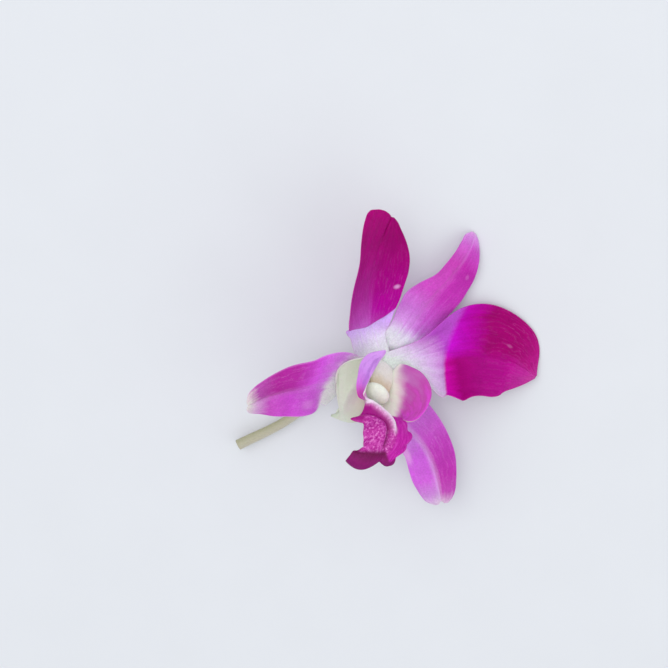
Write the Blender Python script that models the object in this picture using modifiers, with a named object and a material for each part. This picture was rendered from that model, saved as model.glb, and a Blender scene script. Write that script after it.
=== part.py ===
"""A dendrobium orchid flower, picked, lying on its back.

Lengths are millimetres in the flower's own frame and become metres in the scene: X to the right as one
looks into the flower, Y up to the dorsal sepal and Z out of its face, from where the sepals, petals and
column meet. The empty named flower turns that frame so that the flower lies on three low points.
"""

import math

import bmesh
import bpy
import numpy as np
from mathutils import Euler, Matrix, Vector

MM = 0.001
GAP = 0.3  # between pieces that touch on the real flower
BLADE_THICKNESS = 0.8  # every sepal and petal
LIP_THICKNESS = 0.7

# How the flower lies: the turn in degrees about X, Y and Z, and where its middle is above the surface
LYING_TURN = (-15.05, 24.3, -43.37)
LYING_PLACE = (-0.353, -2.57, 12.508)

# Pedicel with the ovary at its end, a bent tube that swells towards the flower
PEDICEL_ROUTE = [
    (0.0, 0.5, -2.4), (0.0, 0.1, -5.5), (0.0, -3.0, -10.5),
    (0.2, -11.0, -15.5), (-1.2, -22.0, -19.0), (-5.5, -33.9, -23.0),
]
PEDICEL_RADII = [2.3, 1.9, 1.6, 1.2, 1.1, 1.25]
PEDICEL_RINGS = 15

# Column with its foot: the arched path of its middle, with half width and half depth along it
COLUMN_PATH = [(0.0, -3.9, 6.4), (0.0, -2.0, 3.2), (0.0, -0.6, 0.2), (0.0, -6.5, -2.5), (0.0, -15.4, -5.8)]
COLUMN_HALF_WIDTH = [(0.0, 1.5), (0.12, 2.1), (0.3, 2.0), (0.5, 2.0), (0.8, 1.6), (0.96, 1.3), (1.0, 0.5)]
COLUMN_HALF_DEPTH = [(0.0, 1.1), (0.12, 1.5), (0.3, 1.6), (0.5, 1.2), (0.8, 0.8), (1.0, 0.4)]
COLUMN_INNER_SHARE = 0.6  # the inner side is flatter than the back
COLUMN_RINGS = 15
COLUMN_SIDES = 14

# Anther cap: half width, half length and height, and its wall; the pollen masses in it
CAP_RADII = (1.8, 1.5, 1.6)
CAP_WALL = 0.45
POLLINIA_RADII = (0.85, 0.6, 0.4)

# Blades: the midrib, the directions the front looks in along it, and half widths on both sides of it
DORSAL_SEPAL = {
    "midrib": [
        (0.3, 3.0, -3.0), (0.5, 8.1, -1.8), (0.6, 12.9, -1.8), (0.4, 18.4, -1.7),
        (0, 26.8, -0.3), (0, 31.0, -0.4), (0, 34.3, -1.5), (0, 37.1, -3.6),
    ],
    "face": [(0.0, (0, 0.2, 1)), (0.6, (0, 0, 1)), (1.0, (0, 0.4, 1))],
    "left": [
        (0.0, 2.8), (0.2, 4.2), (0.36, 5.8), (0.46, 5.6), (0.56, 4.4),
        (0.66, 3.2), (0.8, 2.7), (0.9, 2.4), (0.97, 1.7), (1.0, 0.5),
    ],
    "right": [
        (0.0, 2.8), (0.2, 4.1), (0.36, 5.6), (0.46, 5.7), (0.56, 5.3),
        (0.66, 4.5), (0.8, 3.7), (0.9, 3.1), (0.97, 1.9), (1.0, 0.5),
    ],
}
PETAL_RIGHT = {
    "midrib": [
        (2.4, 1.4, -1.2), (7.2, 7.4, -0.1), (12.2, 12.6, 0.9),
        (17.7, 16.8, 2.7), (23.6, 19.6, 4.8), (29.0, 20.2, 6.9),
    ],
    "face": [(0.0, (-0.1, -0.1, 1)), (0.3, (-0.45, 0.1, 0.85)), (1.0, (-0.45, 0.1, 0.85))],
    "left": [
        (0.0, 2.0), (0.1, 2.5), (0.2, 3.6), (0.33, 6.6), (0.46, 9.8), (0.62, 11.2),
        (0.76, 9.8), (0.87, 7.4), (0.95, 5.0), (0.99, 2.0), (1.0, 0.6),
    ],
    "right": [
        (0.0, 2.0), (0.1, 2.4), (0.17, 3.2), (0.21, 5.4), (0.26, 11.6), (0.32, 13.2), (0.55, 11.8),
        (0.72, 10.2), (0.86, 7.6), (0.95, 4.8), (0.99, 1.8), (1.0, 0.6),
    ],
    "corner_at": 0.28, "curl": 50, "back": -0.8,
}
PETAL_LEFT = {
    "midrib": [
        (-2.2, 1.0, -1.3), (-8.0, 4.4, 0.1), (-13.0, 8.8, 1.8), (-17.4, 13.4, 3.4),
        (-20.8, 18.6, 4.8), (-23.4, 23.6, 5.8), (-25.4, 27.6, 6.2),
    ],
    "face": [(0.0, (0.1, -0.1, 1)), (0.3, (0.28, 0.2, 0.9)), (1.0, (0.38, 0.22, 0.82))],
    "left": [
        (0.0, 2.0), (0.1, 2.4), (0.17, 2.8), (0.22, 4.2), (0.27, 7.8), (0.34, 10.4), (0.55, 9.8),
        (0.72, 8.0), (0.86, 8.0), (0.94, 7.2), (0.985, 4.6), (1.0, 2.2),
    ],
    "right": [
        (0.0, 2.0), (0.1, 2.6), (0.2, 4.4), (0.33, 7.4), (0.48, 9.6), (0.62, 10.0),
        (0.76, 9.4), (0.87, 7.4), (0.95, 5.0), (0.99, 2.0), (1.0, 0.6),
    ],
    "corner_at": 0.3, "curl": 8, "back": 0.0,
}
SEPAL_UPPER = [
    (0.0, 5.8), (0.15, 7.6), (0.3, 8.0), (0.45, 7.0), (0.65, 5.8),
    (0.82, 4.4), (0.93, 3.0), (0.98, 1.6), (1.0, 0.5),
]
SEPAL_LOWER = [
    (0.0, 6.2), (0.2, 5.2), (0.45, 5.8), (0.65, 5.8),
    (0.82, 4.6), (0.93, 3.0), (0.98, 1.6), (1.0, 0.5),
]
LATERAL_SEPAL_RIGHT = {
    "midrib": [
        (3.7, -8.4, -3.5), (8.0, -7.8, -1.7), (13.8, -7.4, 1.2),
        (19.6, -8.6, 3.6), (24.8, -11.6, 5.4), (29.5, -16.2, 8.1),
    ],
    "face": [(0.0, (0, -0.31, 0.95)), (0.4, (-0.35, 0, 0.94)), (1.0, (-0.4, 0, 0.9))],
    "left": SEPAL_UPPER,
    "right": SEPAL_LOWER,
}
LATERAL_SEPAL_LEFT = {
    "midrib": [
        (-3.0, -8.6, -3.5), (-8.0, -9.8, -1.3), (-13.4, -13.8, 1.8),
        (-19.0, -17.8, 4.5), (-22.5, -21.1, 6.0), (-24.7, -23.9, 7.1),
    ],
    "face": [(0.0, (0, -0.31, 0.95)), (0.4, (0.35, 0, 0.94)), (1.0, (0.4, 0, 0.9))],
    "left": SEPAL_LOWER,
    "right": SEPAL_UPPER,
}

# Lip: its middle, and on each side the corner its sections bend round and the rim they end in
LIP_MIDDLE = [
    (0.0, (0, -14.2, -4.2)), (0.08, (0, -14.6, -1.9)), (0.16, (0, -14.5, 0.3)), (0.24, (0, -14.0, 2.4)),
    (0.32, (0, -13.0, 4.6)), (0.4, (0, -11.6, 6.8)), (0.48, (0, -9.9, 9.1)), (0.54, (0, -8.4, 11.1)),
    (0.6, (0.2, -7.5, 12.9)), (0.67, (0.9, -7.9, 15.4)), (0.75, (1.4, -9.4, 18.0)),
    (0.83, (1.6, -11.8, 19.8)), (0.91, (1.6, -14.4, 20.3)), (1.0, (1.5, -16.8, 19.8)),
]
LIP_RIGHT_CORNER = [
    (0.0, (0.8, -14.2, -4.2)), (0.08, (3.2, -14.4, -1.8)), (0.16, (4.6, -14.2, 0.6)),
    (0.24, (5.4, -13.4, 3.0)), (0.32, (6.0, -12.4, 5.6)), (0.4, (6.2, -11.0, 8.0)),
    (0.48, (5.8, -9.4, 10.0)), (0.54, (4.8, -8.2, 11.4)), (0.6, (3.2, -7.4, 12.6)),
    (0.67, (3.0, -6.6, 15.6)), (0.75, (4.0, -8.0, 18.6)), (0.83, (4.2, -11.2, 20.8)),
    (0.91, (3.8, -14.6, 21.4)), (1.0, (2.8, -17.0, 20.6)),
]
LIP_RIGHT_RIM = [
    (0.0, (1.4, -14.0, -4.2)), (0.08, (4.3, -10.6, -1.1)), (0.16, (4.7, -1.0, 0.9)),
    (0.24, (5.3, 4.2, 2.4)), (0.32, (6.6, 4.6, 5.2)), (0.4, (7.4, 3.2, 8.0)),
    (0.48, (7.3, 0.2, 10.8)), (0.54, (6.6, -3.9, 12.0)), (0.6, (4.2, -6.2, 12.6)),
    (0.67, (5.0, -6.0, 14.8)), (0.75, (6.4, -8.0, 17.8)), (0.83, (6.6, -10.8, 19.4)),
    (0.91, (5.6, -13.8, 20.4)), (1.0, (4.0, -16.2, 20.9)),
]
LIP_LEFT_CORNER = [
    (0.0, (-0.8, -14.2, -4.2)), (0.08, (-3.2, -14.4, -1.8)), (0.16, (-4.6, -14.2, 0.6)),
    (0.24, (-5.4, -13.4, 3.0)), (0.32, (-6.0, -12.4, 5.6)), (0.4, (-6.2, -11.0, 8.0)),
    (0.48, (-5.8, -9.4, 10.0)), (0.54, (-4.8, -8.2, 11.4)), (0.6, (-3.0, -7.6, 12.6)),
    (0.67, (-2.0, -7.9, 16.2)), (0.75, (-2.6, -8.6, 19.4)), (0.83, (-2.4, -11.8, 21.4)),
    (0.91, (-1.6, -15.0, 21.8)), (1.0, (0.0, -20.5, 20.6)),
]
LIP_LEFT_RIM = [
    (0.0, (-1.4, -14.0, -4.2)), (0.08, (-4.3, -10.6, -1.1)), (0.16, (-4.7, -2.0, 0.9)),
    (0.24, (-4.6, 1.8, 2.6)), (0.32, (-5.0, 2.2, 5.2)), (0.4, (-6.4, 0.6, 7.8)),
    (0.48, (-7.2, -2.6, 10.0)), (0.54, (-6.8, -6.0, 11.4)), (0.6, (-4.2, -8.0, 11.2)),
    (0.65, (-4.6, -10.6, 12.6)), (0.69, (-6.0, -13.1, 13.6)), (0.73, (-4.6, -12.6, 16.0)),
    (0.83, (-4.6, -13.6, 18.4)), (0.91, (-4.6, -17.0, 19.6)), (1.0, (-3.0, -20.4, 17.6)),
]
LIP_FLARE = [(0.0, 0.0), (0.16, 0.0), (0.3, 1.0), (0.42, 2.6), (0.52, 1.6), (0.6, 0.0), (1.0, 0.0)]

COLOURS = {
    "petal": (0.45, 0.006, 0.20), "sepal": (0.56, 0.09, 0.52), "lip": (0.50, 0.02, 0.28),
    "column": (0.80, 0.77, 0.66), "cap": (0.86, 0.84, 0.74), "pollen": (0.85, 0.62, 0.12),
    "pedicel": (0.52, 0.50, 0.30),
}
ROUGHNESS = 0.5


def clear_scene():
    for obj in list(bpy.data.objects):
        bpy.data.objects.remove(obj, do_unlink=True)


def material(name, colour):
    made = bpy.data.materials.new(name)
    made.use_nodes = True
    shader = made.node_tree.nodes["Principled BSDF"]
    shader.inputs["Base Color"].default_value = (*colour, 1.0)
    shader.inputs["Roughness"].default_value = ROUGHNESS
    shader.inputs["Metallic"].default_value = 0.0
    return made


def smooth(stations, at):
    """Values on a smooth curve through (place, value) stations: a cubic between each two of them."""
    places = np.array([place for place, _ in stations], float)
    values = np.array([value for _, value in stations], float).reshape(len(places), -1)
    steps = np.diff(places)[:, None]
    slopes = np.diff(values, axis=0) / steps
    inner = (steps[1:] * slopes[:-1] + steps[:-1] * slopes[1:]) / (steps[1:] + steps[:-1])
    slopes = np.vstack([slopes[:1], inner, slopes[-1:]])
    at = np.atleast_1d(np.asarray(at, float))
    index = np.clip(np.searchsorted(places, at, side="right") - 1, 0, len(steps) - 1)
    part = ((at - places[index]) / steps[index, 0])[:, None]
    found = (
        (1 + 2 * part) * (1 - part) ** 2 * values[index]
        + part * (1 - part) ** 2 * steps[index] * slopes[index]
        + part**2 * (3 - 2 * part) * values[index + 1]
        - part**2 * (1 - part) * steps[index] * slopes[index + 1]
    )
    return found[:, 0] if found.shape[1] == 1 else found


def along_path(points):
    """The points with their place on the path, from 0 at its start to 1 at its end."""
    points = np.array(points, float)
    lengths = np.concatenate([[0.0], np.cumsum(np.linalg.norm(np.diff(points, axis=0), axis=1))])
    return list(zip(lengths / lengths[-1], points))


def unit(vectors):
    return vectors / np.linalg.norm(vectors, axis=-1, keepdims=True)


def directions(stations, along, step):
    """The direction of the path at each place, over a short step both ways."""
    after = smooth(stations, np.minimum(along + step, 1.0))
    before = smooth(stations, np.maximum(along - step, 0.0))
    return unit(after - before)


def blade_points(shape, turn, sweep=None, rows=16, half_columns=5):
    """A blade on its midrib: each cross-section leaves the midrib both ways and bends by turn's angle.

    turn(along, side, across) is the section's slope towards the front, in radians, and
    sweep(along, side, across) moves points along the midrib, towards the base where it is negative.
    """
    even = np.linspace(0.0, 1.0, rows + 1)
    along = 0.35 * even + 0.65 * np.sin(even * math.pi / 2)
    stations = along_path(shape["midrib"])
    middle = smooth(stations, along)
    tangent = directions(stations, along, 0.01)
    front = smooth(shape["face"], along)
    front = unit(front - (front * tangent).sum(axis=1, keepdims=True) * tangent)
    lateral = np.cross(tangent, front)
    edges = np.linspace(0.0, 1.0, half_columns + 1)
    between = (edges[1:] + edges[:-1])[None, :] / 2
    halves = []
    for side, widths in ((-1, shape["left"]), (1, shape["right"])):
        step = np.maximum(smooth(widths, along), 0.3)[:, None] / half_columns
        slope = turn(along[:, None], side, between)
        out = np.cumsum(np.cos(slope) * step, axis=1)
        up = np.cumsum(np.sin(slope) * step, axis=1)
        back = sweep(along[:, None], side, edges[None, 1:]) if sweep else np.zeros_like(out)
        halves.append(
            middle[:, None]
            + side * out[..., None] * lateral[:, None]
            + up[..., None] * front[:, None]
            + back[..., None] * tangent[:, None]
        )
    return np.concatenate([halves[0][:, ::-1], middle[:, None], halves[1]], axis=1)


def add_object(name, mesh, collection, parent, finish):
    obj = bpy.data.objects.new(name, mesh)
    collection.objects.link(obj)
    obj.parent = parent
    mesh.materials.append(finish)
    mesh.shade_smooth()
    return obj


def blade(name, points, thickness, *place):
    """A grid moved onto the points, split into triangles and given its thickness both ways."""
    rows, columns = points.shape[:2]
    sheet = bmesh.new()
    bmesh.ops.create_grid(sheet, x_segments=columns - 1, y_segments=rows - 1, size=1.0)
    for vert, point in zip(sheet.verts, points.reshape(-1, 3)):
        vert.co = point * MM
    mesh = bpy.data.meshes.new(name)
    sheet.to_mesh(mesh)
    sheet.free()
    obj = add_object(name, mesh, *place)
    split = obj.modifiers.new("Triangulate", "TRIANGULATE")
    split.quad_method = "SHORTEST_DIAGONAL"
    wall = obj.modifiers.new("Solidify", "SOLIDIFY")
    wall.thickness = thickness * MM
    wall.offset = 0.0
    return obj


def dorsal_sepal(*place):
    """The upper sepal: long oval, broadest below its middle, its margins rolled back near the tip."""

    def turn(along, side, across):
        rolled_back = np.clip((along - 0.35) / 0.3, 0.0, 1.0)
        return math.radians(8) * (1 - along) - math.radians(75) * rolled_back * across

    return blade("dorsal_sepal", blade_points(DORSAL_SEPAL, turn), BLADE_THICKNESS, *place)


def petal(name, shape, lower_side, *place):
    """A petal: a short claw, then a broad cupped blade whose lower corner stands forward."""

    def turn(along, side, across):
        cupped = math.radians(34) * np.sin(math.pi * along) * across
        corner = np.exp(-(((along - shape["corner_at"]) / 0.13) ** 2))
        return cupped + math.radians(shape["curl"] if side == lower_side else 42) * corner * across

    def sweep(along, side, across):
        corner = np.exp(-(((along - shape["corner_at"]) / 0.13) ** 2))
        return (shape["back"] if side == lower_side else -1.5) * corner * across**2

    points = blade_points(shape, turn, sweep, rows=20, half_columns=7)
    return blade(name, points, BLADE_THICKNESS, *place)


def lateral_sepal(name, shape, *place):
    """A side sepal: its wide base runs down the column's foot, then it narrows and ends in a round tip."""

    def turn(along, side, across):
        groove = math.radians(20) * np.sin(math.pi * along)
        return groove - math.radians(35) * across * along

    return blade(name, blade_points(shape, turn), BLADE_THICKNESS, *place)


def lip_points(rows, half_columns):
    """Sections across the lip: each half bends from the middle round its corner to its rim."""
    along = np.linspace(0.0, 1.0, rows + 1)
    middle = smooth(LIP_MIDDLE, along)[:, None]
    across = np.linspace(0.0, 1.0, half_columns + 1)[None, :, None]
    flare = smooth(LIP_FLARE, along)[:, None, None] * across**6
    halves = []
    for side, corner, rim in ((-1, LIP_LEFT_CORNER, LIP_LEFT_RIM), (1, LIP_RIGHT_CORNER, LIP_RIGHT_RIM)):
        bent = (
            (1 - across) ** 2 * middle
            + 2 * across * (1 - across) * smooth(corner, along)[:, None]
            + across**2 * smooth(rim, along)[:, None]
        )
        halves.append(bent + flare * np.array([side, -0.2, -0.3]))
    return np.concatenate([halves[0][:, :0:-1], halves[1]], axis=1)


def labellum(*place):
    """The lip: a trough with two tall side lobes round the column, a narrow waist and a waved front lobe."""
    return blade("labellum", lip_points(rows=34, half_columns=8), LIP_THICKNESS, *place)


def loft(name, rings, *place):
    """A closed body through rings of points, with its ends capped."""
    around = rings.shape[1]
    body = bmesh.new()
    verts = [[body.verts.new(Vector(point) * MM) for point in ring] for ring in rings]
    for first, second in zip(verts[:-1], verts[1:]):
        for i in range(around):
            j = (i + 1) % around
            body.faces.new((first[i], first[j], second[j], second[i]))
    body.faces.new(verts[0][::-1])
    body.faces.new(verts[-1])
    bmesh.ops.recalc_face_normals(body, faces=body.faces)
    mesh = bpy.data.meshes.new(name)
    body.to_mesh(mesh)
    body.free()
    return add_object(name, mesh, *place)


def column(*place):
    """The column and its foot, one arched body: round at the back and flatter on its inner side."""
    along = np.linspace(0.0, 1.0, COLUMN_RINGS)
    stations = along_path(COLUMN_PATH)
    sideways = np.array([1.0, 0.0, 0.0])
    outward = np.cross(directions(stations, along, 0.02), sideways)
    angle = np.linspace(0.0, 2 * math.pi, COLUMN_SIDES, endpoint=False)
    width = smooth(COLUMN_HALF_WIDTH, along)[:, None, None]
    depth = smooth(COLUMN_HALF_DEPTH, along)[:, None, None]
    across = np.sin(angle)[None, :, None] * sideways
    deep = np.cos(angle)
    deep = np.where(deep > 0, deep, COLUMN_INNER_SHARE * deep)[None, :, None] * outward[:, None]
    rings = smooth(stations, along)[:, None] + width * across + depth * deep
    return loft("column", rings, *place)


def column_tip():
    """The place past the column's end by the gap, and the turn that brings Z onto the column's direction."""
    tip, before = np.array(COLUMN_PATH[0]), np.array(COLUMN_PATH[1])
    ahead = unit(tip - before)
    turn = Vector(ahead).to_track_quat("Z", "Y").to_matrix().to_4x4()
    return Matrix.Translation(Vector(tip + GAP * ahead) * MM) @ turn


def dome(name, radii, lowest, *place):
    """A sphere drawn out to the three radii, without what is below lowest, a share of its height."""
    body = bmesh.new()
    bmesh.ops.create_uvsphere(body, u_segments=14, v_segments=10, radius=1.0)
    below = [vert for vert in body.verts if vert.co.z < lowest - 0.01]
    bmesh.ops.delete(body, geom=below, context="VERTS")
    for vert in body.verts:
        vert.co = Vector(radius * value * MM for radius, value in zip(radii, vert.co))
    mesh = bpy.data.meshes.new(name)
    body.to_mesh(mesh)
    body.free()
    obj = add_object(name, mesh, *place)
    obj.matrix_local = column_tip()
    return obj


def anther_cap(*place):
    """The thin helmet over the column's tip."""
    obj = dome("anther_cap", CAP_RADII, 0.0, *place)
    wall = obj.modifiers.new("Solidify", "SOLIDIFY")
    wall.thickness = CAP_WALL * MM
    wall.offset = -1.0
    return obj


def pollinia(*place):
    """The waxy pollen masses under the cap, pressed together, with a groove between the two pairs."""
    obj = dome("pollinia", POLLINIA_RADII, -1.0, *place)
    for vert in obj.data.vertices:
        beside = abs(vert.co.x) / (POLLINIA_RADII[0] * MM)
        vert.co.y *= 0.65 + 0.35 * min(beside * 2.0, 1.0)
        vert.co.z += POLLINIA_RADII[2] * MM
    return obj


def pedicel(collection, parent, finish):
    """The flower's stalk: a path with a radius at each point, its ends capped."""
    curve = bpy.data.curves.new("pedicel", "CURVE")
    curve.dimensions = "3D"
    curve.bevel_depth = MM
    curve.bevel_resolution = 3
    curve.use_fill_caps = True
    spline = curve.splines.new("POLY")
    along = np.linspace(0.0, 1.0, PEDICEL_RINGS)
    stations = along_path(PEDICEL_ROUTE)
    widths = [(at, radius) for (at, _), radius in zip(stations, PEDICEL_RADII)]
    spline.points.add(PEDICEL_RINGS - 1)
    for point, spot, radius in zip(spline.points, smooth(stations, along), smooth(widths, along)):
        point.co = (*(spot * MM), 1.0)
        point.radius = radius
    obj = bpy.data.objects.new("pedicel", curve)
    collection.objects.link(obj)
    obj.parent = parent
    curve.materials.append(finish)
    return obj


def main():
    clear_scene()
    flower_parts = bpy.data.collections.new("dendrobium_flower")
    bpy.context.scene.collection.children.link(flower_parts)
    flower = bpy.data.objects.new("flower", None)
    flower_parts.objects.link(flower)
    flower.rotation_euler = Euler([math.radians(angle) for angle in LYING_TURN])
    flower.location = Vector(LYING_PLACE) * MM
    places = {name: (flower_parts, flower, material(name, colour)) for name, colour in COLOURS.items()}
    dorsal_sepal(*places["sepal"])
    petal("petal_right", PETAL_RIGHT, 1, *places["petal"])
    petal("petal_left", PETAL_LEFT, -1, *places["petal"])
    lateral_sepal("lateral_sepal_right", LATERAL_SEPAL_RIGHT, *places["sepal"])
    lateral_sepal("lateral_sepal_left", LATERAL_SEPAL_LEFT, *places["sepal"])
    labellum(*places["lip"])
    column(*places["column"])
    anther_cap(*places["cap"])
    pollinia(*places["pollen"])
    pedicel(*places["pedicel"])


main()
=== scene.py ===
import math
from functools import partial

import bpy
import numpy as np
from mathutils import Euler, Matrix, Vector


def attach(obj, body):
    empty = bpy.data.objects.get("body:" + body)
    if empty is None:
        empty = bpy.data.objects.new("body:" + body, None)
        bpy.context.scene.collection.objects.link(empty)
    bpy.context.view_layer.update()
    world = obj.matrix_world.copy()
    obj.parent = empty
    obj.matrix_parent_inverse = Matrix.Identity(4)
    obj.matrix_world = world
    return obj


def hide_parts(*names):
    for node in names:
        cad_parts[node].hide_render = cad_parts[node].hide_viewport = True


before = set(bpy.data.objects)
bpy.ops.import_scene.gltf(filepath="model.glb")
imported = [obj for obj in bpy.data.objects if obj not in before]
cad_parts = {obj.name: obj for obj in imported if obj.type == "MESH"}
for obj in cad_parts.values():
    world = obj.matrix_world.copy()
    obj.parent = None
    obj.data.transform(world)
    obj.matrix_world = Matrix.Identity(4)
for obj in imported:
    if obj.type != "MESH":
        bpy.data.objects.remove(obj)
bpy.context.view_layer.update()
print("frame loaded:", ", ".join(sorted(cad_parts)))

mm = 0.001

# How the flower lies: turned about x, y and z in degrees, then lifted onto its three low points
lying = {"turn": (-15.05, 24.3, -43.37), "place": (-0.353, -2.57, 12.56)}
flowerTurn = np.array(Euler([math.radians(a) for a in lying["turn"]]).to_matrix())
flowerPlace = np.array(lying["place"])


def unit(vectors):
    # The same directions, one long
    return vectors / np.linalg.norm(vectors, axis=-1, keepdims=True)


def smooth(stations, at):
    # Value at each place on a cubic through (place, value) stations, with weighted slopes at the stations
    places = np.array([place for place, _ in stations], float)
    values = np.array([value for _, value in stations], float).reshape(len(places), -1)
    steps = np.diff(places)[:, None]
    slopes = np.diff(values, axis=0) / steps
    inner = (steps[1:] * slopes[:-1] + steps[:-1] * slopes[1:]) / (steps[1:] + steps[:-1])
    slopes = np.vstack([slopes[:1], inner, slopes[-1:]])
    at = np.atleast_1d(np.asarray(at, float))
    index = np.clip(np.searchsorted(places, at, side="right") - 1, 0, len(steps) - 1)
    part = ((at - places[index]) / steps[index, 0])[:, None]
    found = (
        (1 + 2 * part) * (1 - part) ** 2 * values[index]
        + part * (1 - part) ** 2 * steps[index] * slopes[index]
        + part**2 * (3 - 2 * part) * values[index + 1]
        - part**2 * (1 - part) * steps[index] * slopes[index + 1]
    )
    return found[:, 0] if found.shape[1] == 1 else found


def alongPath(points):
    # Each point with its share of the path's length
    points = np.array(points, float)
    lengths = np.concatenate([[0.0], np.cumsum(np.linalg.norm(np.diff(points, axis=0), axis=1))])
    return list(zip(lengths / lengths[-1], points))


def directions(stations, along, step):
    # Unit vector from a little before each place to a little after it
    return unit(smooth(stations, np.minimum(along + step, 1.0)) - smooth(stations, np.maximum(along - step, 0.0)))


def bump(value, middle, width):
    # 1 at the middle, falling off as a bell of that width
    return np.exp(-(((value - middle) / width) ** 2))


def ease(value, low, high):
    # 0 below low, 1 above high, an S curve between
    part = np.clip((value - low) / (high - low), 0.0, 1.0)
    return part * part * (3 - 2 * part)


def spaced(count, crowding):
    # Places from 0 to 1 that come closer together towards 1: part even, part a quarter of a sine wave
    even = np.linspace(0.0, 1.0, count + 1)
    return (1 - crowding) * even + crowding * np.sin(even * math.pi / 2)


def rounded(value, reach, least=0.0):
    # The height of a quarter circle, 0 at 0 and 1 from reach on; least keeps its start open
    return np.sqrt(1 - (1 - np.clip(value / reach, least, 1.0)) ** 2)


def around(sides):
    # Even angles round a ring
    return np.linspace(0.0, 2 * math.pi, sides, endpoint=False)


def normals(sheet):
    # Unit cross product of a grid's two directions
    return unit(np.cross(np.gradient(sheet, axis=1), np.gradient(sheet, axis=0)))


def gridFaces(rows, columns, closed=False):
    # Four corners for each cell of a grid of points that is numbered row by row
    index = np.arange(rows * columns).reshape(rows, columns)
    if closed:
        index = np.concatenate([index, index[:, :1]], axis=1)
    return np.stack([index[:-1, :-1], index[:-1, 1:], index[1:, 1:], index[1:, :-1]], axis=-1).reshape(-1, 4)


def newObject(name, data):
    # An object for the data, in the scene
    made = bpy.data.objects.new(name, data)
    bpy.context.scene.collection.objects.link(made)
    return made


def addPiece(name, node, points, faces, finish, uv, marks=None):
    # Points in mm in the flower's frame become a mesh in metres, and its object stands for the node
    mesh = bpy.data.meshes.new(name)
    world = (points @ flowerTurn.T + flowerPlace) * mm
    mesh.from_pydata(world.tolist(), [], faces if isinstance(faces, list) else faces.tolist())
    corners = np.empty(len(mesh.loops), np.int32)
    mesh.loops.foreach_get("vertex_index", corners)
    mesh.uv_layers.new(name="blade").uv.foreach_set("vector", uv[corners].astype(np.float32).ravel())
    for mark, values in (marks or {}).items():
        mesh.attributes.new(mark, "FLOAT", "POINT").data.foreach_set("value", values.astype(np.float32).ravel())
    mesh.validate()
    mesh.shade_smooth()
    mesh.materials.append(finish)
    piece = newObject(name, mesh)
    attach(piece, "root")
    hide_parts(node)
    print(name, len(mesh.vertices), "points")


def shell(sheet, thickness, across, along):
    # A closed leaf: two grids half the thickness off the sheet along its normals, and a strip round the rim
    rows, columns = sheet.shape[:2]
    half = thickness[..., None] / 2 * normals(sheet)
    points = np.concatenate([(sheet + half).reshape(-1, 3), (sheet - half).reshape(-1, 3)])
    cells = gridFaces(rows, columns)
    count = rows * columns
    index = np.arange(count).reshape(rows, columns)
    rim = np.concatenate([index[0], index[1:, -1], index[-1, -2::-1], index[-2:0:-1, 0]])
    after = np.roll(rim, -1)
    strip = np.stack([rim, rim + count, after + count, after], axis=-1)
    faces = np.concatenate([cells, cells[:, ::-1] + count, strip])
    uv = np.stack([np.broadcast_to(across, (rows, columns)) / 2 + 0.5, np.broadcast_to(along, (rows, columns))], -1)
    uv = np.concatenate([uv.reshape(-1, 2)] * 2)
    back = np.repeat([0.0, 1.0], count)
    return points, faces, uv, {"back": back}


def hexColour(code):
    # sRGB hex to linear
    parts = np.array([int(code[i : i + 2], 16) for i in (1, 3, 5)]) / 255
    linear = np.where(parts <= 0.04045, parts / 12.92, ((parts + 0.055) / 1.055) ** 2.4)
    return (*linear.tolist(), 1.0)


def setInputs(tree, node, inputs):
    # Inputs are links, numbers, vectors or hex colours, in order or by name
    for name, value in inputs.items() if isinstance(inputs, dict) else enumerate(inputs):
        if isinstance(value, bpy.types.NodeSocket):
            tree.links.new(value, node.inputs[name])
        else:
            node.inputs[name].default_value = hexColour(value) if isinstance(value, str) else value


def addNode(tree, kind, inputs, stops=(), **settings):
    # A node with its settings and inputs; stops are the places and colours, or greys, of a colour ramp
    made = tree.nodes.new("ShaderNode" + kind)
    for name, value in settings.items():
        setattr(made, name, value)
    for _ in stops[2:]:
        made.color_ramp.elements.new(0.5)
    for number, (spot, colour) in enumerate(stops):
        element = made.color_ramp.elements[number]
        element.position = spot
        element.color = hexColour(colour) if isinstance(colour, str) else (colour, colour, colour, 1.0)
    setInputs(tree, made, inputs)
    return made.outputs


def newFinish(name):
    # A material, its node tree, its shader, and addNode for that tree
    made = bpy.data.materials.new(name)
    made.use_nodes = True
    tree = made.node_tree
    return made, tree, tree.nodes["Principled BSDF"], partial(addNode, tree)


def placesOn(add):
    # A point's place across and along its piece from 0 to 1, the two parts of that, and its place in metres
    place = add("UVMap", [], uv_map="blade")[0]
    return place, add("SeparateXYZ", [place]), add("TexCoord", [])[3]


# Petal and sepal skin: live tissue, its front a velvet of tiny domed cells, the colour in the skin only,
# so it is deep where one looks straight at it, and the blade lets a little light through
petalSurface = {
    "IOR": 1.4,  # water-filled cells
    "Specular IOR Level": 0.06,  # the domed cells trap most of the gloss
    "Subsurface Weight": 0.3, "Subsurface Radius": (1.0, 0.5, 0.9), "Subsurface Scale": 0.0006,
}


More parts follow.
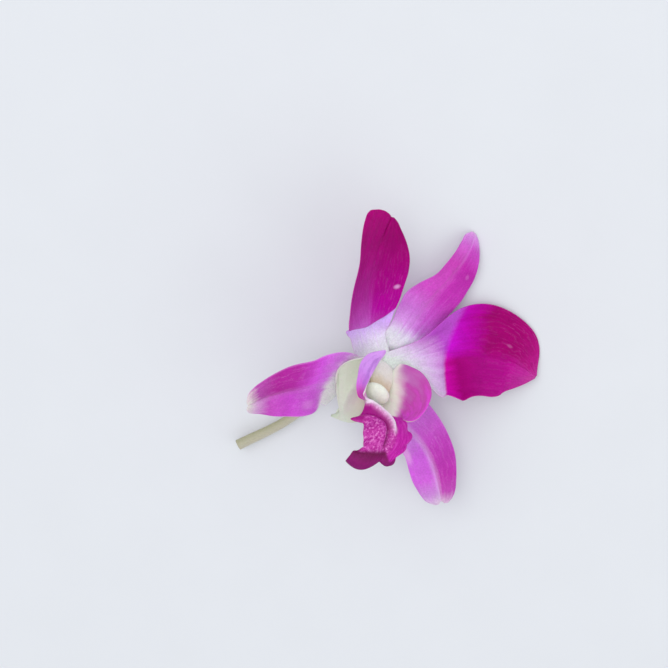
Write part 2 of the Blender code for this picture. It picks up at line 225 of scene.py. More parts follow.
def petalTissue(name, look):
    made, tree, shader, add = newFinish(name)
    place, parts, at = placesOn(add)
    # streaks run along the blade, about 1 mm wide: noise drawn out lengthwise
    drawn = add("VectorMath", [place, (look["streaks"], 2.2, 0)], operation="MULTIPLY")[0]
    drawing = {"Vector": drawn, "Scale": 1.0, "Detail": 4.0, "Roughness": 0.65}
    streak = add("TexNoise", drawing, noise_dimensions="2D")[0]
    loose = add("Math", [streak, 0.5], operation="SUBTRACT")[0]
    # pale claw, and the coloured blade with a darker and a lighter side, all their borders frayed by the streaks
    # on the petals the lighter side's greyer tone is painted sheen where that half turns away
    slant = add("Math", [parts[0], look.get("clawSlant", 0.0), parts[1]], operation="MULTIPLY_ADD")[0]
    flush = add("Attribute", [], attribute_name="flush")[2]
    slant, spot, side, flush = (
        add("Math", [loose, frayed, value], operation="MULTIPLY_ADD")[0]
        for frayed, value in ((0.12, slant), (look["ragged"], parts[1]), (0.1, parts[0]), (look["fray"], flush))
    )
    claw, left, right = (
        add("ValToRGB", [value], look[part])[0]
        for part, value in (("claw", slant), ("left", spot), ("right", spot))
    )
    side = add("MapRange", [side, *look["halves"]], interpolation_type="SMOOTHSTEP")[0]
    flush = add("MapRange", [flush, 0.15, 0.85], interpolation_type="SMOOTHSTEP")[0]
    colour = add("Mix", {0: side, 6: left, 7: right}, data_type="RGBA")[2]
    colour = add("Mix", {0: flush, 6: claw, 7: colour}, data_type="RGBA")[2]
    # mottling of the skin in patches of about 3 mm, and cells drawn at 0.4 mm, coarser than the real 0.05 mm
    patch = add("TexNoise", {"Vector": at, "Scale": 330.0, "Detail": 2.0})[0]
    cells = add("TexNoise", {"Vector": at, "Scale": 2600.0, "Detail": 1.0})[0]
    for wave, darker, lighter in ((patch, 0.93, 1.06), (cells, 0.92, 1.08)):
        shade = add("MapRange", [wave, 0.3, 0.7, darker, lighter])[0]
        colour = add("Mix", {0: 1.0, 6: colour, 7: shade}, data_type="RGBA", blend_type="MULTIPLY")[2]
    # pale veins: thin lines fanning with the blade, stronger towards one end
    vein = add("Math", [patch, 2.0], operation="MULTIPLY")[0]
    for wave, size in ((streak, 2.6), (parts[0], look["veins"])):
        vein = add("Math", [wave, size, vein], operation="MULTIPLY_ADD")[0]
    for how in ("FRACT", "SUBTRACT", "ABSOLUTE"):
        vein = add("Math", [vein, 0.5], operation=how)[0]
    vein = add("MapRange", [vein, 0.0, 0.12, 1.0, 0.0])[0]
    for share in (add("ValToRGB", [parts[1]], look["veinsAt"])[0], patch):
        vein = add("Math", [vein, share], operation="MULTIPLY")[0]
    # the midrib, the rim and the back are paler, and one bleached spot shows where the skin was bruised
    # the pale rim is partly the margin's own colour and partly a painted highlight where the edge catches the light
    edge = parts[0]
    for how in ("SUBTRACT", "ABSOLUTE"):
        edge = add("Math", [edge, 0.5], operation=how)[0]
    back = add("Attribute", [], attribute_name="back")[2]
    back = add("Math", [back, 0.4], operation="MULTIPLY")[0]
    u, v, wide, long = look["spot"]
    near = [place, (1 / wide, 1 / long, 0), (-u / wide, -v / long, 0)]
    near = add("VectorMath", near, operation="MULTIPLY_ADD")[0]
    near = add("VectorMath", [near], operation="LENGTH")[1]
    midrib, rim, near = (
        add("MapRange", change, interpolation_type="SMOOTHSTEP")[0]
        for change in (
            [edge, 0.0, 0.11, look["stripe"], 0.0],
            [edge, 0.5 - look["rimWidth"], 0.5, 0.0, look["rimShare"]],
            [near, 0.3, 1.2, look["spotShare"], 0.0],
        )
    )
    midrib = add("Math", [midrib, streak], operation="MULTIPLY")[0]
    tints = (look["veinColour"], "#E8D4EC", look["rim"], look["behind"], "#E8B4E4")
    for share, tint in zip((vein, midrib, rim, back, near), tints):
        colour = add("Mix", {0: share, 6: colour, 7: tint}, data_type="RGBA")[2]
    height = add("Math", [cells, 0.3], operation="MULTIPLY")[0]
    height = add("Math", [streak, 0.6, height], operation="MULTIPLY_ADD")[0]
    raised = add("Bump", {"Strength": 0.4, "Distance": 0.00025, "Height": height})[0]
    rough = add("MapRange", [patch, 0.3, 0.7, 0.5, 0.62])[0]
    setInputs(tree, shader, {**petalSurface, "Base Color": colour, "Normal": raised, "Roughness": rough})
    return made


# Waxy flesh of column, cap, pollen and stalk: smooth, a little moist, and the light soaks in
fleshSurface = {
    "IOR": 1.42, "Subsurface Weight": 0.4, "Subsurface Radius": (1.0, 0.9, 0.7), "Subsurface Scale": 0.0008,
}


def softTissue(name, look):
    made, tree, shader, add = newFinish(name)
    parts, at = placesOn(add)[1:]
    # two sides blended round the piece, their colours shifted by patches of 1000 / patches mm
    patch = add("TexNoise", {"Vector": at, "Scale": look["patches"], "Detail": 3.0})[0]
    loose = add("Math", [patch, 0.5], operation="SUBTRACT")[0]
    spot = add("Math", [loose, look["ragged"], parts[1]], operation="MULTIPLY_ADD")[0]
    first, second = (add("ValToRGB", [spot], look[side])[0] for side in ("first", "second"))
    side = add("ValToRGB", [parts[0]], look["round"])[0]
    colour = add("Mix", {0: side, 6: first, 7: second}, data_type="RGBA")[2]
    # cells drawn at 0.4 mm, coarser than the real 0.05 mm
    cells = add("TexNoise", {"Vector": at, "Scale": 2500.0, "Detail": 1.0})[0]
    shade = add("MapRange", [cells, 0.3, 0.7, 0.95, 1.04])[0]
    colour = add("Mix", {0: 1.0, 6: colour, 7: shade}, data_type="RGBA", blend_type="MULTIPLY")[2]
    height = add("Math", [cells, 0.3, patch], operation="MULTIPLY_ADD")[0]
    raised = add("Bump", {"Strength": 0.3, "Distance": 0.0002, "Height": height})[0]
    gloss = {"Roughness": look["roughness"], "Specular IOR Level": look["gloss"]}
    setInputs(tree, shader, {**fleshSurface, **gloss, "Base Color": colour, "Normal": raised})
    return made


rimTaper, rimLeast = 1.2, 0.06  # mm over which a blade thins out to its rim, and what is left there

dorsalSepal = {
    "midrib": [
        (0.3, 3, -3), (0.5, 8.1, -1.8), (0.6, 12.9, -1.8), (0.4, 18.4, -1.7),
        (0, 26.8, -0.3), (0, 31, -0.4), (0, 34.3, -1.5), (0, 37.1, -3.6),
    ],
    "face": [(0, (0, 0.2, 1)), (0.6, (0, 0, 1)), (1, (0, 0.4, 1))],
    "left": [
        (0, 4.4), (0.1, 4.9), (0.2, 5.2), (0.3, 6.1), (0.38, 6.4), (0.5, 4.7),
        (0.6, 3), (0.7, 2.6), (0.8, 2.6), (0.9, 2.4), (0.97, 1.7), (1, 0.6),
    ],
    "right": [
        (0, 4.4), (0.1, 4.8), (0.2, 5), (0.36, 5.8), (0.5, 6.4), (0.6, 6.6),
        (0.7, 6.3), (0.8, 5), (0.88, 3.9), (0.94, 3), (0.98, 2), (1, 0.8),
    ],
    "rooted": 1.8, "cleft": 0.0, "thick": 0.55, "flush": (0.08, 0.32, -0.02),
    "tilt": 8, "rolled": (60, 20), "rollsFrom": 0.35,
    "look": {
        "claw": [(0, "#E0E6E0"), (0.2, "#E2DCEC"), (0.36, "#D4A8E0")],
        "left": [
            (0.2, "#D49CDE"), (0.34, "#CC74D2"), (0.5, "#C84CBC"), (0.75, "#C040AC"),
            (0.88, "#C860C4"), (0.96, "#D88CDC"), (1, "#E0A8E0"),
        ],
        "right": [
            (0.2, "#CC84D8"), (0.34, "#C458C4"), (0.5, "#BE38B0"), (0.75, "#BC2CA8"),
            (0.88, "#C850C0"), (0.96, "#D488D8"), (1, "#E0A8E0"),
        ],
        "halves": (0.38, 0.62), "streaks": 16.0, "ragged": 0.12, "fray": 0.45, "veins": 11.0, "stripe": 0.1,
        "spot": (0.8, 0.715, 0.05, 0.02), "spotShare": 0.15,
        "veinsAt": [(0, 0), (0.3, 0.25), (0.6, 0.1), (1, 0.1)], "veinColour": "#E2B8E6",
        "rim": "#D08CD4", "rimWidth": 0.04, "rimShare": 0.35, "behind": "#DCA8DC",
    },
}
petalRight = {
    "midrib": [
        (2.4, 1.4, -1.2), (7.2, 7.4, -0.1), (12.2, 12.6, 0.9),
        (17.7, 16.8, 2.7), (23.6, 19.5, 4.8), (29.8, 19.8, 6.9),
    ],
    "face": [(0, (-0.1, -0.1, 1)), (0.3, (-0.45, 0.1, 0.85)), (1, (-0.45, 0.1, 0.85))],
    "left": [
        (0, 3.8), (0.1, 4), (0.2, 4.6), (0.33, 7.1), (0.46, 10.2), (0.62, 11.5),
        (0.76, 10), (0.87, 7.2), (0.93, 4.7), (0.97, 2.3), (0.99, 1), (1, 0.4),
    ],
    "right": [
        (0, 3.6), (0.1, 4.2), (0.15, 5), (0.2, 6.8), (0.24, 8.8), (0.268, 11.6),
        (0.31, 13.2), (0.4, 13.3), (0.5, 11.6), (0.6, 10.8), (0.7, 10.2),
        (0.8, 8.9), (0.87, 7.3), (0.93, 5), (0.97, 2.6), (0.99, 1.1), (1, 0.4),
    ],
    "rooted": 2.2, "cornerAt": 0.28, "curl": 50, "back": -0.8, "lowerSide": 1,
    "border": (0.37, -0.105, 0.02), "borderWidth": (0.06, 0.014), "ledge": 0.8, "thick": 0.5,
    "look": {
        "claw": [(0, "#DEE4DE"), (0.03, "#E2DEE8"), (0.14, "#D8B8E2"), (0.22, "#CC90D4"), (0.31, "#B850C4")],
        "clawSlant": -0.2,
        "left": [
            (0.34, "#C418D0"), (0.44, "#BE0CBC"), (0.54, "#B0009A"),
            (0.64, "#9A0068"), (0.8, "#9C0068"), (0.93, "#AC147C"), (1, "#BC3494"),
        ],
        # the right half pinker and greyer towards its end: painted sheen where it turns away
        "right": [
            (0.26, "#D810B8"), (0.34, "#CA06A2"), (0.44, "#A20074"),
            (0.58, "#A4087C"), (0.8, "#AE0C86"), (0.93, "#B42890"), (1, "#C04098"),
        ],
        "halves": (0.42, 0.58), "streaks": 18.0, "ragged": 0.12, "fray": 0.25, "veins": 17.0, "stripe": 0.0,
        "spot": (0.355, 0.767, 0.02, 0.02), "spotShare": 0.14,
        "veinsAt": [(0, 0), (0.5, 0), (0.75, 0.25), (1, 0.4)], "veinColour": "#C868B8",
        "rim": "#C24CA8", "rimWidth": 0.012, "rimShare": 0.3, "behind": "#C878BC",
    },
}
petalLeft = {
    "midrib": [
        (-2.2, 1, -1.3), (-8, 4.4, 0.1), (-13, 8.8, 1.8), (-17.4, 13.4, 3.4),
        (-20.8, 18.6, 4.8), (-23.2, 23.8, 5.9), (-24.3, 27.2, 6.4),
    ],
    "face": [(0, (0.1, -0.1, 1)), (0.3, (0.28, 0.2, 0.9)), (1, (0.38, 0.22, 0.82))],
    "left": [
        (0, 4.2), (0.1, 4.5), (0.15, 4.6), (0.2, 4.9), (0.25, 6), (0.3, 8), (0.35, 9.8), (0.4, 11),
        (0.5, 10.4), (0.6, 9.3), (0.72, 8.1), (0.86, 8.7), (0.94, 9.2), (0.98, 9), (1, 8.4),
    ],
    "right": [
        (0, 3.6), (0.1, 3.7), (0.2, 4.2), (0.3, 5.2), (0.36, 6.3), (0.42, 8), (0.5, 9.6),
        (0.62, 10.3), (0.76, 9.4), (0.87, 6.9), (0.94, 4.4), (0.98, 2.3), (1, 0.6),
    ],
    "rooted": 1.0, "cornerAt": 0.3, "curl": 8, "back": 0.0, "lowerSide": -1,
    "border": (0.25, 0.0, 0.13), "borderWidth": (0.012, 0.012), "ledge": 0.8, "thick": 0.5,
    "look": {
        "claw": [(0, "#DEE4DE"), (0.12, "#E2DCEC"), (0.24, "#DCBCF6"), (0.4, "#D0A0F0")],
        # the left half greyer and lighter: painted sheen where it turns away
        "left": [
            (0.24, "#C868CA"), (0.34, "#BA48B0"), (0.48, "#A82890"),
            (0.7, "#A20E78"), (0.85, "#9C046C"), (1, "#A80070"),
        ],
        "right": [
            (0.24, "#BC40AE"), (0.36, "#B00098"), (0.5, "#A80084"),
            (0.7, "#A00074"), (0.85, "#980068"), (1, "#9C0068"),
        ],
        "halves": (0.4, 0.66), "streaks": 18.0, "ragged": 0.08, "fray": 0.12, "veins": 19.0, "stripe": 0.0,
        "spot": (0.91, 0.476, 0.05, 0.016), "spotShare": 0.6,
        "veinsAt": [(0, 0.2), (0.25, 0.5), (0.4, 0.3), (0.8, 0.1), (1, 0.05)], "veinColour": "#C878BC",
        "rim": "#B84CA0", "rimWidth": 0.012, "rimShare": 0.3, "behind": "#C878BC",
    },
}
lateralSepalRight = {
    "midrib": [
        (3.7, -8.4, -3.5), (8, -7.8, -1.7), (13.8, -7.4, 1.2),
        (19.6, -8.6, 3.6), (24.8, -11.6, 5.4), (29.2, -15.9, 7.9),
    ],
    "face": [(0, (0, -0.31, 0.95)), (0.4, (-0.35, 0, 0.94)), (1, (-0.4, 0, 0.9))],
    "left": [
        (0, 5.8), (0.15, 7.6), (0.3, 8), (0.45, 7.2), (0.6, 6.3), (0.7, 5.8),
        (0.8, 5.1), (0.87, 4.5), (0.93, 3.8), (0.97, 2.8), (1, 1.5),
    ],
    "right": [
        (0, 4.4), (0.2, 5), (0.4, 4.9), (0.5, 4.8), (0.6, 5.3), (0.7, 5.6),
        (0.8, 5.5), (0.87, 5.1), (0.93, 4.4), (0.97, 3.4), (1, 1.6),
    ],
    "rooted": 0.0, "cleft": 0.6, "thick": 0.55, "flush": (0.05, 0.35, 0.0),
    "look": {
        "claw": [(0, "#F0ECF4"), (0.2, "#E4C4EC"), (0.4, "#D8A0E4")],
        "left": [
            (0.1, "#D48CE0"), (0.4, "#CC68D2"), (0.6, "#BC40B4"),
            (0.82, "#B634A6"), (0.93, "#BC4CB0"), (1, "#CCB0C8"),
        ],
        "right": [
            (0.1, "#D8A0EA"), (0.4, "#D088DE"), (0.6, "#CA60D4"),
            (0.82, "#CC62D2"), (0.93, "#C684CE"), (1, "#CCB8CC"),
        ],
        "halves": (0.44, 0.54), "streaks": 14.0, "ragged": 0.07, "fray": 0.4, "veins": 9.0, "stripe": 0.6,
        "spot": (0.93, 0.5, 0.1, 0.16), "spotShare": 0.6,
        "veinsAt": [(0, 0.4), (0.3, 0.4), (0.6, 0.3), (1, 0.3)], "veinColour": "#DCA4E0",
        "rim": "#D890D8", "rimWidth": 0.03, "rimShare": 0.35, "behind": "#DCB0DC",
    },
}
lateralSepalLeft = {
    "midrib": [
        (-3, -8.6, -3.5), (-8, -9.8, -1.3), (-13.4, -13.8, 1.8),
        (-19, -17.8, 4.5), (-22.5, -21.1, 6), (-24.7, -23.9, 7.1),
    ],
    "face": [(0, (0, -0.31, 0.95)), (0.4, (0.35, 0, 0.94)), (1, (0.4, 0, 0.9))],
    "left": [
        (0, 6.2), (0.2, 5.6), (0.3, 6.5), (0.45, 6.5), (0.65, 5.9),
        (0.8, 5.2), (0.87, 4.6), (0.93, 3.7), (0.98, 2.2), (1, 1),
    ],
    "right": [
        (0, 7.4), (0.1, 8.6), (0.2, 8.8), (0.35, 8.6), (0.5, 8.1), (0.6, 7.5),
        (0.7, 6.6), (0.8, 5.4), (0.87, 4.3), (0.93, 3.4), (0.98, 2.2), (1, 1),
    ],
    "rooted": 0.0, "cleft": 0.3, "thick": 0.55, "flush": (0.1, 0.34, 0.07),
    "look": {
        "claw": [(0, "#F4F3F2"), (0.25, "#F0ECF0"), (0.4, "#E4CCEC")],
        "left": [
            (0.2, "#D090DA"), (0.36, "#CE60D4"), (0.6, "#CC4CCC"),
            (0.8, "#C450BC"), (0.92, "#CC98C8"), (1, "#DCD8D0"),
        ],
        "right": [
            (0.1, "#DC98EC"), (0.36, "#E05CE8"), (0.47, "#CC44C8"),
            (0.6, "#B42CA0"), (0.75, "#AE2896"), (0.9, "#B04CA4"), (1, "#DCD8D0"),
        ],
        "halves": (0.42, 0.58), "streaks": 14.0, "ragged": 0.1, "fray": 0.45, "veins": 9.0, "stripe": 0.15,
        "spot": (0.2, 0.42, 0.1, 0.07), "spotShare": 0.22,
        "veinsAt": [(0, 0.4), (0.3, 0.4), (0.6, 0.2), (1, 0.2)], "veinColour": "#DCA8E0",
        "rim": "#DC9CDC", "rimWidth": 0.03, "rimShare": 0.4, "behind": "#DCB4DC",
    },
}


def bladeSheet(shape, turn, sweep, rows=180, halfColumns=52):
    # Each row is a cross-section: it leaves the midrib both ways as far as the half widths say, its slope
    # given by turn, added up step by step, and sweep moves it along the midrib. toRim is how many mm a point
    # is from the nearest rim.
    along = spaced(rows, 0.65)
    stations = alongPath(shape["midrib"])
    tangent = directions(stations, along, 0.01)
    middle = smooth(stations, along) - shape["rooted"] * (1 - ease(along, 0.0, 0.1))[:, None] * tangent
    front = smooth(shape["face"], along)
    front = unit(front - (front * tangent).sum(axis=1, keepdims=True) * tangent)
    lateral = np.cross(tangent, front)
    edges = spaced(halfColumns, 0.5)
    between = (edges[1:] + edges[:-1])[None, :] / 2
    halves, widths = [], []
    for side, key in ((-1, "left"), (1, "right")):
        width = np.maximum(smooth(shape[key], along), 0.3)[:, None]
        step = width * np.diff(edges)[None, :]
        slope = turn(shape, along[:, None], side, between)
        out = np.cumsum(np.cos(slope) * step, axis=1)
        up = np.cumsum(np.sin(slope) * step, axis=1)
        back = sweep(shape, along[:, None], side, edges[None, 1:])
        halves.append(
            middle[:, None]
            + side * out[..., None] * lateral[:, None]
            + up[..., None] * front[:, None]
            + back[..., None] * tangent[:, None]
        )
        widths.append(width * (1 - edges[None, 1:]))
    sheet = np.concatenate([halves[0][:, ::-1], middle[:, None], halves[1]], axis=1)
    middleWidth = np.minimum(widths[0][:, :1], widths[1][:, :1])
    toRim = np.concatenate([widths[0][:, ::-1], middleWidth, widths[1]], axis=1)
    length = np.linalg.norm(np.diff(middle, axis=0), axis=1).sum()
    toRim = np.minimum(toRim, (1 - along)[:, None] * length)
    across = np.concatenate([-edges[:0:-1], [0.0], edges[1:]])[None, :]
    return sheet, along[:, None], across, toRim


def blade(name, node, slot, shape, turn, sweep, relief, flush):
    # The sheet moved along its normals by the relief, then given its thickness, thinner to the rim; flush is
    # how far the colour has come in, from 0 on the claw to 1 on the blade
    sheet, along, across, toRim = bladeSheet(shape, turn, sweep)
    sheet = sheet + relief(shape, along, across)[..., None] * normals(sheet)
    thickness = shape["thick"] * (0.5 + 0.5 * bump(across, 0.0, 0.5)) * rounded(toRim, rimTaper) + rimLeast
    points, faces, uv, marks = shell(sheet, thickness, across, along)
    marks["flush"] = np.concatenate([(flush(shape, along, across) + 0 * thickness).ravel()] * 2)
    addPiece(name, node, points, faces, petalTissue(name + "Tissue", shape["look"]), uv, marks)


def dorsalTurn(shape, along, side, across):
    # tilted up at the base, and from rollsFrom on rolled back the more the nearer the rim, in degrees
    left, right = shape["rolled"]
    share = np.clip((along - shape["rollsFrom"]) / 0.3, 0.0, 1.0)
    return math.radians(shape["tilt"]) * (1 - along) - math.radians(right if side > 0 else left) * share * across


def sepalTurn(shape, along, side, across):
    # cupped by 20 degrees halfway along, with a rim that turns back by up to 35 towards the tip
    return math.radians(20) * np.sin(math.pi * along) - math.radians(35) * across * along


def sepalSweep(shape, along, side, across):
    # both halves of the tip reach past the midrib, which leaves a cleft
    return shape["cleft"] * ease(along, 0.88, 1.0) * ease(across, 0.0, 0.5)


def sepalRelief(shape, along, across):
    # a shallow groove on the midrib, and margins that wave gently
    wave = 0.14 * np.sin(along * 23 + across * 2) * across**2
    return wave - 0.12 * bump(across, 0.0, 0.1) * ease(along, 0.0, 0.3)


def sepalFlush(shape, along, across):
    # an S curve along the blade from low to high, later on one side by the slant
    low, high, slant = shape["flush"]
    return ease(along + slant * across, low, high)


petalBend = {"cup": 34, "upperCurl": 42, "upperBack": -1.5, "cornerLength": 0.13, "notch": (4.2, 3.4)}


def petalTurn(shape, along, side, across):
    # cupped towards the rim, most halfway along, and each corner stands forward by its curl, in degrees
    cupped = math.radians(petalBend["cup"]) * np.sin(math.pi * along) * across
    corner = bump(along, shape["cornerAt"], petalBend["cornerLength"])
    curl = shape["curl"] if side == shape["lowerSide"] else petalBend["upperCurl"]
    return cupped + math.radians(curl) * corner * across


def petalSweep(shape, along, side, across):
    # corners drawn back a little; on the petal with the notch the longer half reaches past the tip
    corner = bump(along, shape["cornerAt"], petalBend["cornerLength"])
    moved = (shape["back"] if side == shape["lowerSide"] else petalBend["upperBack"]) * corner * across**2
    if shape is petalLeft and side < 0:
        rise, fall = petalBend["notch"]
        moved = moved + ease(along, 0.82, 1.0) * (rise * across - fall * across**2)
    return moved


def border(shape, along, across):
    # how far past the line where claw meets blade: a parabola in across
    start, slant, bend = shape["border"]
    return along - (start + slant * across + bend * across**2)


def petalRelief(shape, along, across):
    # the claw lies behind the blade by the ledge, the midrib is a faint groove, the rest swells slightly
    held = ease(across, -0.9, -0.1) if shape is petalRight else 1.0
    ledge = shape["ledge"] * held * ease(along, 0.02, 0.2) * (1 - ease(border(shape, along, across), -0.014, 0.004))
    swell = 0.12 * np.sin(along * 17 + across * 5) * across**2
    swell = swell + 0.05 * np.sin(across * 21) * ease(along, 0.2, 0.5)
    deep = 0.2 * ease(along, 0.3, 0.5) + (0.35 * ease(along, 0.7, 1.0) if shape is petalLeft else 0.0)
    return swell - ledge - deep * bump(across, 0.0, 0.05)


def petalFlush(shape, along, across):
    # an S curve across the border, wide on the upper side and narrow on the lower
    upper, lower = shape["borderWidth"]
    width = upper + (lower - upper) * ease(across, -0.8, 0.4)
    return ease(border(shape, along, across) / width, -1.0, 1.0)


sepalWays = (sepalSweep, sepalRelief, sepalFlush)
blade("dorsalSepal", "dorsal_sepal", "sepal", dorsalSepal, dorsalTurn, *sepalWays)
blade("lateralSepalRight", "lateral_sepal_right", "sepal", lateralSepalRight, sepalTurn, *sepalWays)
blade("lateralSepalLeft", "lateral_sepal_left", "sepal", lateralSepalLeft, sepalTurn, *sepalWays)
for name, node, shape in (("petalRight", "petal_right", petalRight), ("petalLeft", "petal_left", petalLeft)):
    blade(name, node, "petal", shape, petalTurn, petalSweep, petalRelief, petalFlush)

lip = {
    "middle": [
        (0, (-0.3, -15.4, -4.3)), (0.08, (0.2, -14.8, -1.2)), (0.16, (0.2, -14.4, 1)),
        (0.24, (0, -14, 2.8)), (0.32, (0, -13, 4.6)), (0.4, (0, -11.6, 6.8)), (0.48, (0, -9.9, 9.1)),
        (0.54, (0, -8.4, 11.1)), (0.6, (0.2, -7.5, 12.9)), (0.67, (0.9, -7.9, 15.4)), (0.75, (1.4, -9.4, 18)),
        (0.83, (1.6, -11.8, 19.8)), (0.91, (1.6, -14.2, 20.5)), (1, (1.8, -16.4, 20.6)),
    ],
    "rightCorner": [
        (0, (0.4, -15, -4.2)), (0.08, (2.2, -14.4, -1.8)), (0.16, (2.9, -13.4, 0.8)),
        (0.24, (3.4, -12.2, 3.4)), (0.32, (4.2, -10.8, 6)), (0.4, (4.8, -9.8, 8.3)), (0.48, (5.8, -9.4, 10)),
        (0.54, (4.8, -8.2, 11.4)), (0.6, (3.2, -7.4, 12.6)), (0.67, (3, -6.6, 15.6)), (0.75, (4, -8, 18.6)),
        (0.83, (4.2, -11.2, 20.8)), (0.91, (3.8, -14.6, 21.4)), (1, (3.9, -17, 22)),
    ],
    "rightRim": [
        (0, (1.4, -14, -4.2)), (0.08, (4.3, -10.6, -1.1)), (0.12, (4, -4.6, -0.2)), (0.16, (2.6, 2.3, 0.6)),
        (0.2, (3, 3.7, 1.8)), (0.24, (4.1, 4.3, 3.6)), (0.3, (6, 4.6, 5.3)), (0.36, (7.8, 3.9, 7.1)),
        (0.42, (9, 2.5, 8.7)), (0.48, (9.2, 0.3, 10.4)), (0.52, (8.9, -2, 11.6)), (0.55, (7.9, -4.3, 12.6)),
        (0.58, (6.1, -5.8, 13)), (0.6, (4.5, -6.2, 13)), (0.63, (4, -6.1, 13.7)), (0.66, (4.1, -6.3, 14.6)),
        (0.7, (4.4, -6.7, 16)), (0.75, (5.1, -7.3, 17.4)), (0.79, (5.6, -7.9, 18.6)), (0.82, (5.7, -8.7, 19.2)),
        (0.86, (5.5, -10, 19.7)), (0.9, (5.2, -11.3, 19.9)), (0.95, (4.7, -13, 20.4)),
        (1, (4.3, -15.1, 20.9)),
    ],
    "leftCorner": [
        (0, (-0.4, -15.3, -4.2)), (0.08, (-1.2, -13.7, -0.6)), (0.16, (-3.9, -12.3, 0.4)),
        (0.24, (-5.3, -12.4, 2.4)), (0.32, (-5.8, -12, 5.2)), (0.4, (-6.2, -11, 8)),
        (0.48, (-5.8, -9.4, 10)), (0.54, (-4.8, -8.2, 11.4)), (0.6, (-3, -7.6, 12.6)),
        (0.67, (-2, -7.9, 16.2)), (0.75, (-2.6, -8.6, 19.4)), (0.83, (-2.4, -11.8, 21.4)),
        (0.91, (-1.2, -16, 21.8)), (1, (0.2, -22.1, 20.7)),
    ],
    "leftFold": [  # where the side lobe turns outwards
        (0, (-0.3, -15.2, -4.1)), (0.05, (-0.8, -13.8, -1.6)), (0.08, (-1.6, -12.3, -0.2)),
        (0.105, (-3.9, -10.6, -0.4)), (0.13, (-7.4, -8.6, 0.8)), (0.155, (-8.9, -5.9, 0.8)),
        (0.18, (-8.3, -3, 1.6)), (0.21, (-4.9, 0.6, 2.4)), (0.24, (-4, 2.8, 3.5)),
        (0.3, (-4.6, 1.3, 5.2)), (0.36, (-5.4, -0.4, 7.1)), (0.42, (-6.2, -2.4, 9)),
        (0.48, (-6.6, -4.1, 10.3)), (0.54, (-6.7, -6, 11.1)), (0.575, (-6.5, -7.7, 11.5)),
        (0.6, (-4.8, -8.2, 11.6)), (1, (-4.8, -8.2, 11.6)),
    ],
    "leftFlare": [  # and the rim it ends in
        (0, (-0.4, -15.3, -4.1)), (0.05, (-0.9, -13.9, -1.6)), (0.08, (-1.7, -12.2, -0.1)),
        (0.105, (-4.1, -10.4, -0.2)), (0.13, (-7.7, -8.4, 0.9)), (0.155, (-9.2, -5.8, 0.9)),
        (0.18, (-8.5, -2.9, 1.7)), (0.21, (-5.3, 0.9, 2.8)), (0.24, (-4.6, 3.3, 4.4)),
        (0.3, (-6.5, 2.3, 5.2)), (0.36, (-8.4, 0.6, 6.2)), (0.42, (-9.6, -1.7, 7.9)),
        (0.48, (-9.6, -4.3, 10.2)), (0.54, (-8.3, -7.2, 11.5)), (0.575, (-6.8, -8.6, 11.8)),
        (0.6, (-5.2, -8.4, 11.7)), (1, (-5.2, -8.4, 11.7)),
    ],
    "leftRim": [  # the front lobe's margin without its points
        (0, (-4.6, -8, 11.7)), (0.6, (-4.6, -8, 11.7)), (0.65, (-3.9, -9.9, 12.8)),
        (0.7, (-3.8, -11.5, 14.8)), (0.75, (-3.7, -12.9, 16.5)), (0.8, (-3.5, -14.3, 17.9)),
        (0.85, (-3.4, -15.8, 18.8)), (0.9, (-3.6, -17.4, 19.1)),
        (0.95, (-3.4, -19.1, 18.5)), (1, (-2.8, -20.6, 17.1)),
    ],
    "leftPoints": [  # the same margin with them
        (0, (-4.8, -8.1, 11.7)), (0.6, (-4.8, -8.1, 11.7)), (0.625, (-4.4, -9.4, 12.1)),
        (0.645, (-4.6, -10.6, 12.3)), (0.665, (-5.1, -12, 12.6)),
        (0.685, (-5.6, -13.1, 12.8)), (0.7, (-4.9, -12.8, 13.9)), (0.72, (-4.3, -12, 15)),
        (0.75, (-3.9, -12.9, 16.4)), (0.8, (-3.4, -14.2, 17.9)), (0.84, (-3.2, -15.6, 18.9)),
        (0.87, (-2.5, -16.3, 19.7)), (0.89, (-2.9, -17.2, 19.5)), (0.92, (-3.9, -17.8, 18.9)),
        (0.96, (-3.7, -19.2, 18.4)), (1, (-2.8, -20.6, 17.1)),
    ],
    "foldAt": 0.8, "rounding": 5, "crest": 0.8, "groove": 0.9, "ruffle": 0.35, "waist": (0.57, 0.62),
    "thick": 0.45, "taper": 1.0, "halfWidth": 8, "length": 30,
}


def archOf(along, signed):
    # 1 on the arch-shaped furrow of the front lobe, less inside it and more outside: the distances across and
    # along, each to the power 2.5, added, and the root of that, which makes the arch squarish
    return (np.abs((signed + 1) / 0.85) ** 2.5 + np.maximum((0.88 - along) / 0.24, 0.0) ** 2.5) ** 0.4


